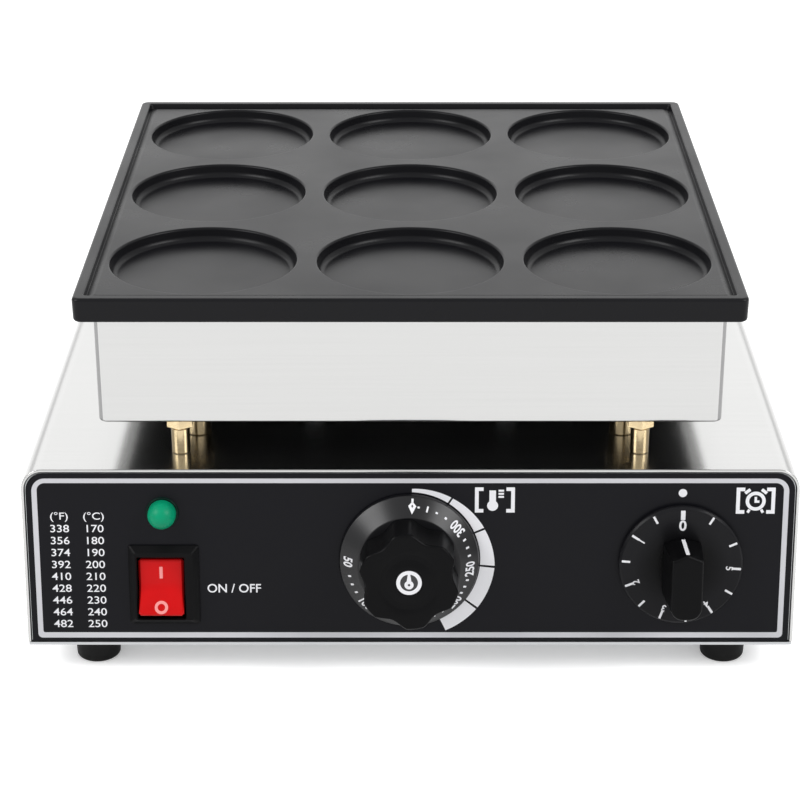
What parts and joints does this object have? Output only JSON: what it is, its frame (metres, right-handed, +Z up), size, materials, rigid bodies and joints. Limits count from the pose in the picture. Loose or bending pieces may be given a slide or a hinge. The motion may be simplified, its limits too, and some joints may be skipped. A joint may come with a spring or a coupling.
{
  "type": "mini pancake maker",
  "caption": "Countertop pancake maker: a cast plate with round moulds on a heater box, raised on brass posts over a base with rocker switch, lamp, temperature knob and timer knob.",
  "frame": {"origin": "on the surface that the machine stands on, under the centre of its bounding box", "axes": "+Z up, the control panel faces -Y, +X to the right as seen from the front"},
  "size_m": [0.31, 0.307, 0.1625],
  "materials": {
    "non_stick": "cast aluminium with a matt black non-stick coating",
    "brushed_steel": "brushed stainless sheet",
    "zinc_steel": "zinc plated steel",
    "brass": "turned brass",
    "black_film": "satin printed film",
    "black_plastic": "moulded black plastic",
    "red_plastic": "translucent red plastic",
    "green_lens": "translucent green plastic",
    "rubber": "moulded rubber",
    "insulation": "mineral fibre board",
    "element": "oxidised element sheath",
    "copper": "drawn copper",
    "pale_moulding": "pale heat-resistant moulding",
    "badge": "black disc with a printed ring",
    "wire_sleeve": "woven glass sleeve"
  },
  "bodies": {
    "machine": {"baking_plate": "non_stick", "heater_box": "brushed_steel", "heating_element_front": "element", "heating_element_rear": "element", "element_clamp_plate": "zinc_steel", "insulation_board": "insulation", "plate_bolt_front_left": "zinc_steel", "plate_bolt_front_right": "zinc_steel", "plate_bolt_rear_left": "zinc_steel", "plate_bolt_rear_right": "zinc_steel", "standoff_front_left": "brass", "standoff_front_right": "brass", "standoff_rear_left": "brass", "standoff_rear_right": "brass", "wire_tube_left": "brass", "wire_tube_right": "brass", "base_shell": "brushed_steel", "front_panel": "zinc_steel", "control_film": "black_film", "rear_panel": "brushed_steel", "bottom_plate": "zinc_steel", "bottom_screw_front_left": "zinc_steel", "bottom_screw_front_right": "zinc_steel", "bottom_screw_rear_left": "zinc_steel", "bottom_screw_rear_right": "zinc_steel", "foot_front_left": "rubber", "foot_front_right": "rubber", "foot_rear_left": "rubber", "foot_rear_right": "rubber", "foot_screw_front_left": "zinc_steel", "foot_screw_front_right": "zinc_steel", "foot_screw_rear_left": "zinc_steel", "foot_screw_rear_right": "zinc_steel", "switch_housing": "black_plastic", "lamp_lens": "green_lens", "lamp_housing": "black_plastic", "lamp_nut": "black_plastic", "thermostat_body": "pale_moulding", "thermostat_nut": "zinc_steel", "timer_body": "pale_moulding", "timer_nut": "zinc_steel", "cable_gland": "black_plastic", "terminal_block": "pale_moulding", "earth_stud": "brass", "heater_lead_front": "wire_sleeve", "heater_lead_rear": "wire_sleeve", "element_link": "wire_sleeve", "thermostat_sensor": "copper", "supply_lead_left": "wire_sleeve", "supply_lead_right": "wire_sleeve", "timer_lead": "wire_sleeve"},
    "power_rocker": {"power_rocker": "red_plastic"},
    "temperature_knob": {"thermostat_shaft": "zinc_steel", "temperature_dial": "black_plastic", "temperature_grip": "black_plastic", "temperature_badge": "badge"},
    "timer_knob": {"timer_shaft": "zinc_steel", "timer_dial": "black_plastic", "timer_grip": "black_plastic"}
  },
  "joints": [
    {"name": "power_rocker_tilt", "type": "hinge", "parent": "machine", "child": "power_rocker", "pos_m": [-0.099, -0.12657, 0.04031], "axis": [1, 0, 0], "range_deg": [0, 20]},
    {"name": "temperature_knob_turn", "type": "hinge", "parent": "machine", "child": "temperature_knob", "pos_m": [-0.0005, -0.12523, 0.05081], "axis": [0, 0.992, -0.1265], "range_deg": [0, 270]},
    {"name": "timer_knob_turn", "type": "hinge", "parent": "machine", "child": "timer_knob", "pos_m": [0.1085, -0.12542, 0.04932], "axis": [0, 0.992, -0.1265], "range_deg": [0, 324]}
  ]
}
